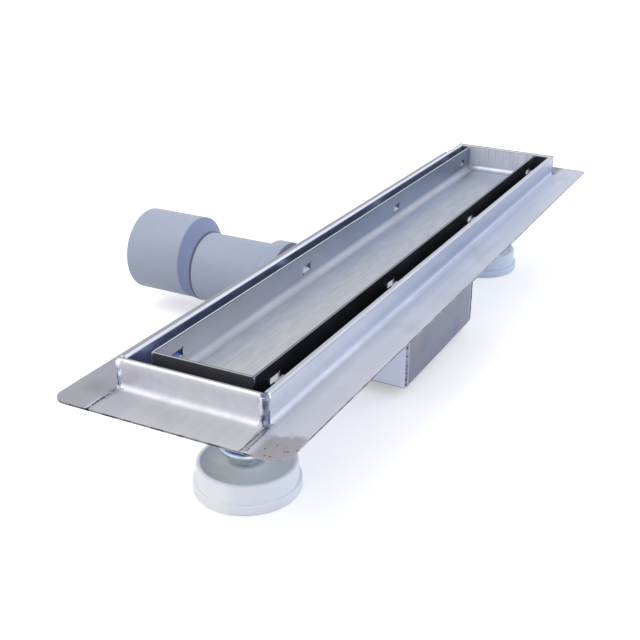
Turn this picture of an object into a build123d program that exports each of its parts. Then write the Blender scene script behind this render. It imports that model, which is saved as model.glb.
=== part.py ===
from build123d import *
import math
import os

os.makedirs("parts", exist_ok=True)

# Linear shower drain with a tile tray, a siphon box, a side outlet and two levelling feet.
# X runs along the channel, +Y is the outlet side and +Z is up.
# The origin is the middle of the tray's floor, where the tile is bedded.

# Stainless sheet
sheet = 1.2
bend = 3.0
seam_gap = 0.2
slack = 0.3

# Channel seen from above
rim_length = 484.0
rim_width = 84.6
end_flange = 24.0
side_flange = 22.7
flange_length = rim_length + 2 * end_flange
flange_width = rim_width + 2 * side_flange
rim_wall = 3.6
hem_radius = 1.75
corner_front_right = 10.0
corner_front_left = 8.5
corner_rear = 3.5

# Heights of the channel and its tray
tray_depth = 18.6
tray_proud = 1.2
rim_height = 16.4
channel_depth = 13.0
flange_top = tray_depth - tray_proud - rim_height
rim_top = flange_top + rim_height
floor_top = flange_top - channel_depth
floor_bottom = floor_top - sheet

# Channel faces worked out from the rim
inner_y = rim_width / 2 - rim_wall
inner_x = rim_length / 2 - rim_wall
trough_y = inner_y + sheet

# Tile tray
tray_end_gap = 8.1
tray_side_gap = 9.3
tray_length = 2 * (inner_x - tray_end_gap)
tray_width = 2 * (inner_y - tray_side_gap)
tray_bend = 4.5
window_count = 4
window_inset = 19.5
window_pitch = (tray_length - 2 * window_inset) / (window_count - 1)
window_length = 9.6
window_height = 5.6
window_z = 8.3
relief_radius = 0.7
tab_reach = 3.2
tab_side_gap = 0.5
tab_bend = 1.0

# Hat-shaped bridges that carry the tray
bridge_inset = 92.5
bridge_x = rim_length / 2 - bridge_inset
bridge_length = 24.0
bridge_top_width = 36.0
bridge_foot = 9.0

# Siphon box under the channel
box_length = 120.0
box_depth = 67.4
box_inset = 1.9
box_bend = 1.0
box_bottom = flange_top - box_depth
box_floor = box_bottom + sheet
box_width = 2 * (trough_y - box_inset)

# Outlet: steel stub in the box wall and the plastic adaptor pushed on it
outlet_drop = 37.5
outlet_z = flange_top - outlet_drop
stub_radius = 22.0
stub_wall = 1.2
stub_inset = 2.0
stub_end = 118.0
barrel_radius = 25.5
barrel_wall = 3.1
bead_start = 81.5
bead_length = 14.5
bead_radius = 29.2
bead_slope = 3.0
bead_edge = 0.8
groove_inset = 3.0
groove_wall = 2.0
cone_start = 148.3
shoulder_y = 155.0
large_radius = 30.1
large_wall = 2.4
large_lift = 1.4
large_z = outlet_z - barrel_radius + large_radius + large_lift
adaptor_end = 200.5
shoulder_wall = 2.6
large_edge = 1.0

# Trap insert that hangs in the box's mouth
insert_end_gap = 4.0
insert_side_gap = 4.4
insert_length = box_length - 2 * insert_end_gap
insert_width = 2 * (inner_y - insert_side_gap)
mouth_lap = 5.0
mouth_length = insert_length - 2 * mouth_lap
mouth_width = insert_width - 2 * mouth_lap
insert_plate = 3.0
seal_height = 2.4
seal_width = 3.5
seal_corner = 4.0
dip_radius = 15.5
dip_wall = 1.8
dip_clear = 9.0
cup_radius = 25.0
cup_wall = 1.8
cup_height = 38.0
cup_foot = 2.0
cup_foot_radius = 4.0
cup_foot_ring = 19.0
fin_count = 4
fin_wall = 1.6
fin_drop = 5.5
strainer_radius = 19.5
strainer_plate = 1.5
strainer_hole = 2.0
strainer_ring = 5.6
strainer_rings = 2
grip_radius = 3.0
grip_height = 2.6

# Levelling feet, with coarse-pitch M10 hardware
foot_inset = 50.4
foot_x = rim_length / 2 - foot_inset
standing_depth = 74.0
pad_radius = 30.1
pad_step = 6.0
pad_ring_radius = 28.4
pad_height = 17.0
pad_lip = 2.0
pad_dish = 2.6
pad_hub = 11.0
pad_edge = 1.2
pad_arc = 18.8
pad_socket = 8.0
stud_radius = 5.0
thread_clear = 0.05
nut_flats = 17.0
nut_height = 8.0
washer_radius = 15.0
washer_thick = 2.5
sleeve_radius = 8.0
stud_headroom = 1.8
nut_chamfer = 0.9
stud_chamfer = 0.8
foot_bottom = flange_top - standing_depth
pad_top = foot_bottom + pad_height
washer_bottom = pad_top + nut_height
lock_nut_bottom = washer_bottom + washer_thick
sleeve_bottom = lock_nut_bottom + nut_height + slack


def save(piece, name):
    """Label a finished piece and write it to its own STEP file."""
    piece.label = name
    export_step(piece, f"parts/{name}.step")


# Channel body: one long sheet with flanges, hemmed rims, walls and floor
with BuildPart() as channel_body:
    with BuildSketch(Plane.YZ):
        with BuildLine():
            FilletPolyline(
                (-flange_width / 2, flange_top),
                (-rim_width / 2, flange_top),
                (-rim_width / 2, rim_top),
                (-inner_y, rim_top),
                (-inner_y, floor_top),
                (inner_y, floor_top),
                (inner_y, rim_top),
                (rim_width / 2, rim_top),
                (rim_width / 2, flange_top),
                (flange_width / 2, flange_top),
                radius=[bend, hem_radius, hem_radius, bend, bend, hem_radius, hem_radius, bend],
            )
            offset(amount=sheet, side=Side.RIGHT)
        make_face()
    extrude(amount=inner_x, both=True)
    # Flat flange ears run on past the end plates to the flange's corners
    ear_length = flange_length / 2 - inner_x
    ear_width = side_flange - seam_gap
    for x_side in (-1, 1):
        for y_side in (-1, 1):
            with BuildSketch(Plane.XY.offset(flange_top - sheet)) as ear:
                ear_x = x_side * (inner_x + ear_length / 2)
                ear_y = y_side * (rim_width / 2 + seam_gap + ear_width / 2)
                with Locations((ear_x, ear_y)):
                    Rectangle(ear_length, ear_width)
                tip = (x_side * flange_length / 2, y_side * flange_width / 2, 0)
                front_radius = corner_front_left if y_side > 0 else corner_front_right
                corner_radius = corner_rear if x_side > 0 else front_radius
                fillet(ear.vertices().sort_by_distance(tip)[0], corner_radius)
            extrude(amount=sheet)
    # Mouth in the floor over the siphon box
    with BuildSketch(Plane.XY.offset(floor_bottom)):
        RectangleRounded(mouth_length, mouth_width, bend)
    extrude(amount=sheet, mode=Mode.SUBTRACT)
save(channel_body.part, "channel_body")

# End plates: end flange, hemmed rim and end wall folded from one sheet
with BuildPart() as end_plate_front:
    with BuildSketch(Plane.XZ):
        with BuildLine():
            FilletPolyline(
                (-flange_length / 2, flange_top),
                (-rim_length / 2, flange_top),
                (-rim_length / 2, rim_top),
                (-inner_x, rim_top),
                (-inner_x, floor_bottom),
                radius=[bend, hem_radius, hem_radius],
            )
            offset(amount=sheet, side=Side.RIGHT)
        make_face()
    extrude(amount=rim_width / 2, both=True)
save(end_plate_front.part, "end_plate_front")

with BuildPart() as end_plate_rear:
    mirror(objects=end_plate_front.part, about=Plane.YZ)
save(end_plate_rear.part, "end_plate_rear")

# Hollow of the tile tray
with BuildPart() as tray_inside:
    with BuildSketch(Plane.XY):
        Rectangle(tray_length - 2 * sheet, tray_width - 2 * sheet)
    extrude(amount=tray_depth)
    fillet(tray_inside.faces().sort_by(Axis.Z)[0].edges(), tray_bend)

# Tile tray: a folded pan with windows, whose lanced tabs keep it off the channel walls
with BuildPart() as tile_tray:
    with BuildSketch(Plane.XY.offset(-sheet)):
        Rectangle(tray_length, tray_width)
    extrude(amount=tray_depth + sheet)
    fillet(tile_tray.faces().sort_by(Axis.Z)[0].edges(), tray_bend + sheet)
    add(tray_inside.part, mode=Mode.SUBTRACT)
    # Windows through both long walls, with a relief hole at two corners
    with BuildSketch(Plane.XZ):
        with Locations((0, window_z)):
            with GridLocations(window_pitch, 0, window_count, 1):
                Rectangle(window_length, window_height)
                for corner in (-1, 1):
                    with Locations((corner * window_length / 2, corner * window_height / 2)):
                        Circle(relief_radius)
    extrude(amount=tray_width, both=True, mode=Mode.SUBTRACT)
    # Tabs rise from the bottom edge of each window and lean out into the gap
    tab_y = tray_width / 2 - sheet
    tab_z = window_z - window_height / 2
    tab_length = window_length - 2 * tab_side_gap
    for side in (-1, 1):
        for index in range(window_count):
            window_x = (index - (window_count - 1) / 2) * window_pitch
            with BuildSketch(Plane.YZ.offset(window_x)):
                with BuildLine():
                    FilletPolyline(
                        (side * tab_y, tab_z - sheet),
                        (side * tab_y, tab_z + sheet),
                        (side * (tab_y + tab_reach), tab_z + window_height - sheet),
                        radius=tab_bend,
                    )
                    offset(amount=sheet, side=Side.RIGHT if side > 0 else Side.LEFT)
                make_face()
            extrude(amount=tab_length / 2, both=True)
save(tile_tray.part, "tile_tray")


def tray_bridge(x):
    """Hat-shaped strip welded to the channel floor under the tray."""
    with BuildPart() as bridge:
        with BuildSketch(Plane.YZ.offset(x)):
            with BuildLine():
                FilletPolyline(
                    (-bridge_top_width / 2 - bridge_foot, floor_top + sheet),
                    (-bridge_top_width / 2, floor_top + sheet),
                    (-bridge_top_width / 2, -sheet),
                    (bridge_top_width / 2, -sheet),
                    (bridge_top_width / 2, floor_top + sheet),
                    (bridge_top_width / 2 + bridge_foot, floor_top + sheet),
                    radius=[sheet, 2 * sheet, 2 * sheet, sheet],
                )
                offset(amount=sheet, side=Side.RIGHT)
            make_face()
        extrude(amount=bridge_length / 2, both=True)
    return bridge.part


save(tray_bridge(-bridge_x), "tray_bridge_front")
save(tray_bridge(bridge_x), "tray_bridge_rear")

# Hollow of the siphon box
with BuildPart() as box_inside:
    with BuildSketch(Plane.XY.offset(box_floor)):
        Rectangle(box_length - 2 * sheet, box_width - 2 * sheet)
    extrude(amount=box_depth)
    fillet(box_inside.faces().sort_by(Axis.Z)[0].edges(), box_bend)

# Siphon box: a folded pan welded under the channel floor
with BuildPart() as siphon_box:
    with BuildSketch(Plane.XY.offset(box_bottom)):
        Rectangle(box_length, box_width)
    extrude(amount=floor_bottom - box_bottom)
    fillet(siphon_box.faces().sort_by(Axis.Z)[0].edges(), box_bend + sheet)
    add(box_inside.part, mode=Mode.SUBTRACT)
    # Hole for the outlet stub
    with BuildSketch(Plane.XZ):
        with Locations((0, outlet_z)):
            Circle(stub_radius + thread_clear)
    extrude(amount=-box_width, mode=Mode.SUBTRACT)
save(siphon_box.part, "siphon_box")

# Outlet stub: a steel tube welded into the box wall
with BuildPart() as outlet_stub:
    with BuildSketch(Plane.XZ.offset(-(box_width / 2 - sheet - stub_inset))):
        with Locations((0, outlet_z)):
            Circle(stub_radius)
            Circle(stub_radius - stub_wall, mode=Mode.SUBTRACT)
    extrude(amount=-(stub_end - (box_width / 2 - sheet - stub_inset)))
save(outlet_stub.part, "outlet_stub")

# Outlet adaptor: ring-seal bead, barrel and larger eccentric end moulded in one
bead_end = bead_start + bead_length
barrel_bore = barrel_radius - barrel_wall
groove_radius = bead_radius - groove_wall
shoulder_back = shoulder_y + shoulder_wall
barrel_axis = Axis((0, 0, outlet_z), (0, 1, 0))
with BuildPart() as outlet_adaptor:
    with BuildSketch(Plane.XZ.offset(-shoulder_y)):
        with Locations((0, large_z)):
            Circle(large_radius)
    extrude(amount=-(adaptor_end - shoulder_y))
    fillet(outlet_adaptor.edges().filter_by(GeomType.CIRCLE).sort_by(Axis.Y)[-1], large_edge)
    with BuildSketch(Plane.XZ.offset(-shoulder_back)):
        with Locations((0, large_z)):
            Circle(large_radius - large_wall)
    extrude(amount=-(adaptor_end - shoulder_back), mode=Mode.SUBTRACT)
    # Cone from the barrel out to the larger end
    with BuildSketch(Plane.XZ.offset(-cone_start)):
        with Locations((0, outlet_z)):
            Circle(barrel_radius)
    with BuildSketch(Plane.XZ.offset(-shoulder_y)):
        with Locations((0, large_z)):
            Circle(large_radius)
    loft()
    with BuildSketch(Plane.YZ) as barrel_profile:
        with BuildLine():
            Polyline(
                (bead_start, outlet_z),
                (bead_start, outlet_z + bead_radius),
                (bead_end - bead_slope, outlet_z + bead_radius),
                (bead_end, outlet_z + barrel_radius),
                (cone_start, outlet_z + barrel_radius),
                (cone_start, outlet_z),
                close=True,
            )
        make_face()
        bead_corners = barrel_profile.vertices().group_by(Axis.Y)[-1]
        fillet(bead_corners, bead_edge)
    revolve(axis=barrel_axis)
    # Bore for the stub, with the groove for its lip seal
    with BuildSketch(Plane.YZ):
        with BuildLine():
            Polyline(
                (bead_start, outlet_z),
                (bead_start, outlet_z + barrel_bore),
                (bead_start + groove_inset, outlet_z + barrel_bore),
                (bead_start + groove_inset, outlet_z + groove_radius),
                (bead_end - groove_inset, outlet_z + groove_radius),
                (bead_end - groove_inset, outlet_z + barrel_bore),
                (shoulder_back, outlet_z + barrel_bore),
                (shoulder_back, outlet_z),
                close=True,
            )
        make_face()
    revolve(axis=barrel_axis, mode=Mode.SUBTRACT)
save(outlet_adaptor.part, "outlet_adaptor")

# Lip seal in the bead's groove, closing on the stub
with BuildPart() as stub_seal:
    with BuildSketch(Plane.YZ):
        with BuildLine():
            Polyline(
                (bead_start + groove_inset, outlet_z + stub_radius + thread_clear),
                (bead_start + groove_inset, outlet_z + groove_radius),
                (bead_end - groove_inset, outlet_z + groove_radius),
                (bead_end - groove_inset, outlet_z + groove_radius - groove_wall),
                (bead_start + 2 * groove_inset, outlet_z + groove_radius - groove_wall),
                (bead_start + 2 * groove_inset, outlet_z + stub_radius + thread_clear),
                close=True,
            )
        make_face()
    revolve(axis=barrel_axis)
save(stub_seal.part, "stub_seal")

# Trap insert: plate with a dip tube that hangs in the box's mouth
plate_bottom = floor_top + seal_height
plate_top = plate_bottom + insert_plate
cup_bottom = box_floor + cup_foot
cup_floor = cup_bottom + cup_wall
dip_bottom = cup_floor + dip_clear
dip_bore = dip_radius - dip_wall
with BuildPart() as trap_insert:
    with BuildSketch(Plane.XY.offset(plate_bottom)):
        RectangleRounded(insert_length, insert_width, seal_corner)
    extrude(amount=insert_plate)
    with BuildSketch(Plane.XY.offset(dip_bottom)):
        Circle(dip_radius)
    extrude(amount=plate_bottom - dip_bottom)
    with BuildSketch(Plane.XY.offset(dip_bottom)):
        Circle(dip_bore)
    extrude(amount=plate_top - dip_bottom, mode=Mode.SUBTRACT)
    # Seat for the strainer
    with BuildSketch(Plane.XY.offset(plate_top - strainer_plate)):
        Circle(strainer_radius + slack)
    extrude(amount=strainer_plate, mode=Mode.SUBTRACT)
save(trap_insert.part, "trap_insert")

# Flat rubber seal between the plate and the channel floor
with BuildPart() as insert_seal:
    with BuildSketch(Plane.XY.offset(floor_top)):
        RectangleRounded(insert_length, insert_width, seal_corner)
        offset(amount=-seal_width, mode=Mode.SUBTRACT)
    extrude(amount=seal_height)
save(insert_seal.part, "insert_seal")

# Water cup around the dip tube, standing on the box floor
with BuildPart() as trap_cup:
    with BuildSketch(Plane.XY.offset(cup_bottom)):
        Circle(cup_radius)
    extrude(amount=cup_height)
    with BuildSketch(Plane.XY.offset(cup_floor)):
        Circle(cup_radius - cup_wall)
    extrude(amount=cup_height, mode=Mode.SUBTRACT)
    # Fins that keep the dip tube in the middle
    fin_length = cup_radius - cup_wall / 2 - dip_radius - slack
    with BuildSketch(Plane.XY.offset(cup_floor)):
        with PolarLocations(dip_radius + slack + fin_length / 2, fin_count):
            Rectangle(fin_length, fin_wall)
    extrude(amount=cup_height - cup_wall - fin_drop)
    # Feet
    with BuildSketch(Plane.XY.offset(box_floor)):
        with PolarLocations(cup_foot_ring, fin_count):
            Circle(cup_foot_radius)
    extrude(amount=cup_foot)
save(trap_cup.part, "trap_cup")

# Hair strainer: a holed disc with a grip, lying in the plate's seat
with BuildPart() as hair_strainer:
    with BuildSketch(Plane.XY.offset(plate_top - strainer_plate)):
        Circle(strainer_radius)
        for ring in range(1, strainer_rings + 1):
            with PolarLocations(ring * strainer_ring, 6 * ring):
                Circle(strainer_hole, mode=Mode.SUBTRACT)
    extrude(amount=strainer_plate)
    with BuildSketch(Plane.XY.offset(plate_top)):
        Circle(grip_radius)
    extrude(amount=grip_height)
save(hair_strainer.part, "hair_strainer")


def foot_pad(x):
    """Plastic pad with a stepped rim, a shallow dish and a socket for the stud."""
    socket = stud_radius + thread_clear
    with BuildPart() as pad:
        with BuildSketch(Plane.XZ) as pad_profile:
            with BuildLine():
                Polyline(
                    (x + pad_hub, pad_top),
                    (x + socket, pad_top),
                    (x + socket, pad_top - pad_socket),
                    (x, pad_top - pad_socket),
                    (x, foot_bottom),
                    (x + pad_radius, foot_bottom),
                    (x + pad_radius, foot_bottom + pad_step),
                    (x + pad_ring_radius, foot_bottom + pad_step),
                    (x + pad_ring_radius, pad_top),
                    (x + pad_ring_radius - pad_lip, pad_top),
                )
                ThreePointArc(
                    (x + pad_ring_radius - pad_lip, pad_top),
                    (x + pad_arc, pad_top - pad_dish),
                    (x + pad_hub, pad_top),
                )
            make_face()
            rim_corners = pad_profile.vertices().sort_by(Axis.X)[-3:]
            fillet(rim_corners.sort_by(Axis.X)[-2:], pad_edge)
            fillet(pad_profile.vertices().sort_by_distance((x + pad_ring_radius, pad_top, 0))[0], pad_edge)
        revolve(axis=Axis((x, 0, 0), (0, 0, 1)))
    return pad.part


def stud(x):
    """Threaded rod from the pad's socket up into the sleeve."""
    low = pad_top - pad_socket
    with BuildPart() as rod:
        with BuildSketch(Plane.XY.offset(low)):
            with Locations((x, 0)):
                Circle(stud_radius)
        extrude(amount=floor_bottom - stud_headroom - low)
        chamfer(rod.faces().sort_by(Axis.Z)[-1].edges(), stud_chamfer)
    return rod.part


def hex_nut(x, bottom):
    """Hexagon nut with chamfered corners, running on the stud."""
    with BuildPart() as turned:
        with BuildSketch(Plane.XY.offset(bottom)):
            with Locations((x, 0)):
                Circle(nut_flats / math.sqrt(3))
        extrude(amount=nut_height)
        chamfer(turned.edges(), nut_chamfer / 2, nut_chamfer)
    with BuildPart() as nut:
        with BuildSketch(Plane.XY.offset(bottom)):
            with Locations((x, 0)):
                RegularPolygon(nut_flats / 2, 6, major_radius=False)
        extrude(amount=nut_height)
        add(turned.part, mode=Mode.INTERSECT)
        with BuildSketch(Plane.XY.offset(bottom)):
            with Locations((x, 0)):
                Circle(stud_radius + thread_clear)
        extrude(amount=nut_height, mode=Mode.SUBTRACT)
    return nut.part


def collar(x, bottom, height, radius):
    """Round ring on the stud, for the washer and the threaded sleeve."""
    with BuildPart() as ring:
        with BuildSketch(Plane.XY.offset(bottom)):
            with Locations((x, 0)):
                Circle(radius)
                Circle(stud_radius + thread_clear, mode=Mode.SUBTRACT)
        extrude(amount=height)
    return ring.part


for end, x in (("front", -foot_x), ("rear", foot_x)):
    save(foot_pad(x), f"foot_pad_{end}")
    save(stud(x), f"foot_stud_{end}")
    save(hex_nut(x, pad_top), f"foot_nut_{end}")
    save(collar(x, washer_bottom, washer_thick, washer_radius), f"foot_washer_{end}")
    save(hex_nut(x, lock_nut_bottom), f"lock_nut_{end}")
    save(collar(x, sleeve_bottom, floor_bottom - sleeve_bottom, sleeve_radius), f"leg_sleeve_{end}")
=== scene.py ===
import math
from functools import cached_property

import bmesh
import bpy
from mathutils import Matrix, Quaternion, Vector, noise


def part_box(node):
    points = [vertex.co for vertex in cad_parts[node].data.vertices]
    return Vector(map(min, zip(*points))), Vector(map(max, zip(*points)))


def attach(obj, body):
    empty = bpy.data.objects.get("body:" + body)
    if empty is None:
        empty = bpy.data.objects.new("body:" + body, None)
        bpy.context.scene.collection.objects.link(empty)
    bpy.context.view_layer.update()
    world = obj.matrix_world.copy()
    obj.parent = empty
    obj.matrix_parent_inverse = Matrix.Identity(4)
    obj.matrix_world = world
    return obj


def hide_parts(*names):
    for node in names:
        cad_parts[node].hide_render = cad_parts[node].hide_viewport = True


# Finishes, welds, feet and outlet of a stainless shower drain with a tile tray.
# Sizes are in metres. X runs along the channel, +Y is the outlet side and +Z is up.
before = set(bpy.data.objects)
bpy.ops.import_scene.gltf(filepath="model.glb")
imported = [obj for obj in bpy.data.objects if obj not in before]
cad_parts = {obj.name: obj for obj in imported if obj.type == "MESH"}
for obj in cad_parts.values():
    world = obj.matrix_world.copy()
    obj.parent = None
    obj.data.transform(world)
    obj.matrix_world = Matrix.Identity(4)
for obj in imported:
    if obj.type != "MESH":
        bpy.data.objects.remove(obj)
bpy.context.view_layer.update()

MM = 0.001
FULL_TURN = 2 * math.pi
SHARP_ANGLE = math.radians(33)

# Camera, found from the photograph's vanishing lines
CAMERA_PLACE = Vector((-0.60019, -0.25609, 0.24274))
CAMERA_TARGET = Vector((-0.12285, -0.04110, 0.00100))
CAMERA_ROLL = math.radians(1.584)
CAMERA_LENS = 57.653
CAMERA_SHIFT = (-0.0805, 0.0186)

# Levels of the surroundings and the floor. The camera sees the floor's colour and glow, and
# the drain is lit by the fill and by the floor's bounce.
FILL_COLOUR = (0.97, 0.98, 1.0, 1)
FILL_LEVEL = 1.06
FLOOR_COLOUR = (0.86, 0.86, 0.87, 1)
FLOOR_GLOW = 0.35
FLOOR_BOUNCE = (0.58, 0.58, 0.59, 1)


def corners(node):
    """Lowest corner, highest corner and middle of a node."""
    low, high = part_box(node)
    return low, high, (low + high) / 2


# Places read from the frame
CHANNEL_LOW, CHANNEL_HIGH, _ = corners("channel_body")
_, PLATE_HIGH, _ = corners("end_plate_front")
TRAY_LOW, TRAY_HIGH, _ = corners("tile_tray")
BOX_LOW, BOX_HIGH, _ = corners("siphon_box")
PAD_LOW, PAD_HIGH, PAD_MIDDLE = corners("foot_pad_front")
OUTLET_LOW, OUTLET_HIGH, _ = corners("outlet_adaptor")
SHEET = 1.2 * MM
HEM = 3.6 * MM
RIM_HEIGHT = 16.4 * MM
RIM_TOP = CHANNEL_HIGH.z
RIM_X = 242 * MM
RIM_Y = PLATE_HIGH.y
FLANGE_TOP = RIM_TOP - RIM_HEIGHT
FLANGE_X = CHANNEL_HIGH.x
TRAY_X = TRAY_HIGH.x
TRAY_Y = 29.4 * MM
FOOT_X = -PAD_MIDDLE.x
# How far the outlet's large end and the cone before it reach back from the outlet's end
LARGE_LENGTH = 45.5 * MM
CONE_LENGTH = 52.2 * MM
SHOULDER_Y = OUTLET_HIGH.y - LARGE_LENGTH
ENDS = (("front", -1), ("rear", 1))
SIDES = (("left", 1), ("right", -1))

# Marks on the flange
GREASE_PLACE = (-268 * MM, -56 * MM, FLANGE_TOP)
SPECK_PLACE = (-258.5 * MM, -59.5 * MM, FLANGE_TOP)
SMEAR_PLACE = (-246 * MM, 52 * MM, FLANGE_TOP)
NOTCH_PLACE = (-FLANGE_X, RIM_Y, FLANGE_TOP - 0.5 * MM)


def eye(red, green, blue):
    """A colour from 0 to 255 as the eye names it, as a shader colour."""
    levels = [channel / 255 for channel in (red, green, blue)]
    return tuple(c / 12.92 if c < 0.04045 else ((c + 0.055) / 1.055) ** 2.4 for c in levels) + (1.0,)


class Finish:
    """One surface finish: a Principled material and short calls for its pattern nodes."""

    def __init__(self, name, metallic=0.0):
        self.material = bpy.data.materials.new(name)
        self.material.use_nodes = True
        self.tree = self.material.node_tree
        self.shader = self.tree.nodes["Principled BSDF"]
        self.shader.inputs["Metallic"].default_value = metallic
        self.place = self.tree.nodes.new("ShaderNodeTexCoord").outputs["Object"]
        axes = self.add("ShaderNodeSeparateXYZ", {"Vector": self.place})
        self.x, self.y, self.z = axes.outputs

    @cached_property
    def along(self):
        """Distance from the channel's middle, lengthwise."""
        return self.math("ABSOLUTE", self.x)

    @cached_property
    def across(self):
        """Distance from the channel's middle, crosswise."""
        return self.math("ABSOLUTE", self.y)

    def put(self, socket, value):
        """Link a node's output to a socket, or set the socket's own value."""
        if isinstance(value, bpy.types.NodeSocket):
            self.tree.links.new(value, socket)
        else:
            socket.default_value = value

    def add(self, kind, inputs, **settings):
        made = self.tree.nodes.new(kind)
        for key, value in settings.items():
            setattr(made, key, value)
        for socket, value in inputs.items():
            self.put(made.inputs[socket], value)
        return made

    def math(self, operation, first, second=0.0):
        return self.add("ShaderNodeMath", {0: first, 1: second}, operation=operation).outputs[0]

    def noise(self, scale, stretch=(1, 1, 1), detail=4, shift=(0, 0, 0)):
        """Soft noise from 0 to 1, with scale waves in a metre."""
        inputs = {"Vector": self.place, "Scale": stretch, "Location": shift}
        spot = self.add("ShaderNodeMapping", inputs).outputs["Vector"]
        inputs = {"Vector": spot, "Scale": scale, "Detail": detail}
        return self.add("ShaderNodeTexNoise", inputs).outputs["Fac"]

    def cells(self, scale):
        """Distance to the nearest of many scattered points, in cells."""
        return self.add("ShaderNodeTexVoronoi", {"Vector": self.place, "Scale": scale}).outputs["Distance"]

    def fade(self, value, start, end, low=0.0, high=1.0):
        """Low where value is at start, high where it is at end, smooth between."""
        inputs = {"Value": value, "From Min": start, "From Max": end, "To Min": low, "To Max": high}
        made = self.add("ShaderNodeMapRange", inputs, interpolation_type="SMOOTHSTEP")
        return made.outputs["Result"]

    def both(self, *masks):
        """Masks multiplied together."""
        result = masks[0]
        for mask in masks[1:]:
            result = self.math("MULTIPLY", result, mask)
        return result

    def band(self, value, start, full, fall, end):
        """One between full and fall, zero before start and past end."""
        return self.both(self.fade(value, start, full), self.fade(value, end, fall))

    def on_left(self):
        """One on the outlet's side of the channel and zero on the other."""
        return self.fade(self.y, -5 * MM, 5 * MM)

    def distance(self, centre):
        inputs = {0: self.place, 1: centre}
        return self.add("ShaderNodeVectorMath", inputs, operation="DISTANCE").outputs["Value"]

    def around(self, centre, radius):
        """One at a point and zero past a radius from it."""
        return self.fade(self.distance(centre), radius, 0.0)

    def from_foot(self):
        """Distance from the upright axis of the nearer foot."""
        aside = self.math("SUBTRACT", self.along, FOOT_X)
        squares = self.math("ADD", self.math("MULTIPLY", aside, aside), self.math("MULTIPLY", self.y, self.y))
        return self.math("SQRT", squares)

    def mix(self, amount, under, over):
        made = self.add("ShaderNodeMix", {0: amount, 6: under, 7: over}, data_type="RGBA")
        return made.outputs[2]

    def tint(self, tone, over, *masks):
        """A tone with another laid over it where all the masks hold."""
        return self.mix(self.both(*masks), tone, over)

    def shade(self, amount, tone):
        """A tone made darker or lighter by a factor."""
        return self.add("ShaderNodeVectorMath", {0: tone, "Scale": amount}, operation="SCALE").outputs[0]

    def colour(self, value):
        self.put(self.shader.inputs["Base Color"], value)

    def rough(self, value):
        self.put(self.shader.inputs["Roughness"], value)

    def bump(self, height, depth, strength=1.0):
        inputs = {"Height": height, "Distance": depth, "Strength": strength}
        made = self.add("ShaderNodeBump", inputs)
        self.put(self.shader.inputs["Normal"], made.outputs["Normal"])


def rolled_sheet(name, tone_of):
    """Mill-finished stainless sheet: clouds, faint rolling streaks and thin finger smudges over a tone."""
    steel = Finish(name, metallic=1.0)
    tone = tone_of(steel)
    cloud = steel.fade(steel.noise(11, (0.6, 1.4, 1.4), 3), 0.3, 0.7)
    tone = steel.shade(steel.fade(cloud, 0.0, 1.0, 0.95, 1.03), tone)
    streaks = steel.fade(steel.noise(240, (0.03, 1, 1), 5), 0.35, 0.65)
    tone = steel.tint(tone, eye(150, 153, 164), streaks, 0.10)
    smudge = steel.fade(steel.noise(26, (0.8, 1, 1), 6, (3, 1, 2)), 0.58, 0.76)
    tone = steel.tint(tone, eye(140, 137, 140), smudge, 0.22)
    # The cut edges of the flange are dull and stained
    beside_rim = steel.fade(steel.across, RIM_Y + 3 * MM, RIM_Y + 4 * MM)
    past_rim = steel.fade(steel.along, RIM_X + 3 * MM, RIM_X + 4 * MM)
    flange_low = FLANGE_TOP - SHEET
    in_edge = steel.band(steel.z, flange_low + 0.04 * MM, flange_low + 0.14 * MM,
                         FLANGE_TOP - 0.14 * MM, FLANGE_TOP - 0.04 * MM)
    in_edge = steel.both(in_edge, steel.math("MAXIMUM", beside_rim, past_rim))
    stain = steel.fade(steel.noise(120, shift=(8, 0, 1)), 0.4, 0.6, 0.7, 1.0)
    tone = steel.tint(tone, eye(58, 51, 55), in_edge, stain)
    # The bend at the upstand's foot is rougher, so that it doesn't glare
    blotch = steel.fade(steel.noise(40, detail=5, shift=(1, 1, 1)), 0.2, 0.8, 0.32, 0.46)
    foot_bend = steel.band(steel.z, FLANGE_TOP - 0.2 * MM, FLANGE_TOP + 0.1 * MM,
                           FLANGE_TOP + 2.6 * MM, FLANGE_TOP + 4.2 * MM)
    steel.rough(steel.math("ADD", blotch, steel.both(foot_bend, 0.28)))
    steel.bump(steel.noise(900, (0.06, 1, 1), 3), 0.02 * MM, 0.3)
    return steel, tone


def inside_hem(steel, out, rim):
    """One on a rim's face that looks into the trough, for a rim at a distance out."""
    return steel.both(steel.fade(out, rim - HEM + 0.6 * MM, rim - HEM + 0.2 * MM),
                      steel.fade(steel.z, RIM_TOP - 1.2 * MM, RIM_TOP - 2.4 * MM))


def seam_tint(steel, beside, wander, at_rim, at_edge, least):
    """Heat tint beside a flange seam, wide at the rim and thin at the edge."""
    outwards = steel.fade(steel.along, RIM_X, FLANGE_X, at_rim, at_edge)
    reach = steel.both(outwards, steel.fade(wander, 0.3, 0.7, least, 1.3))
    return steel.fade(steel.math("DIVIDE", beside, reach), 1.0, 0.4)


def notch(steel, tone):
    """Black notch where the front left seam meets the flange's edge."""
    mark = steel.fade(steel.around(NOTCH_PLACE, 1.8 * MM), 0.2, 0.5)
    return steel.mix(mark, tone, eye(30, 26, 30))


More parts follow.
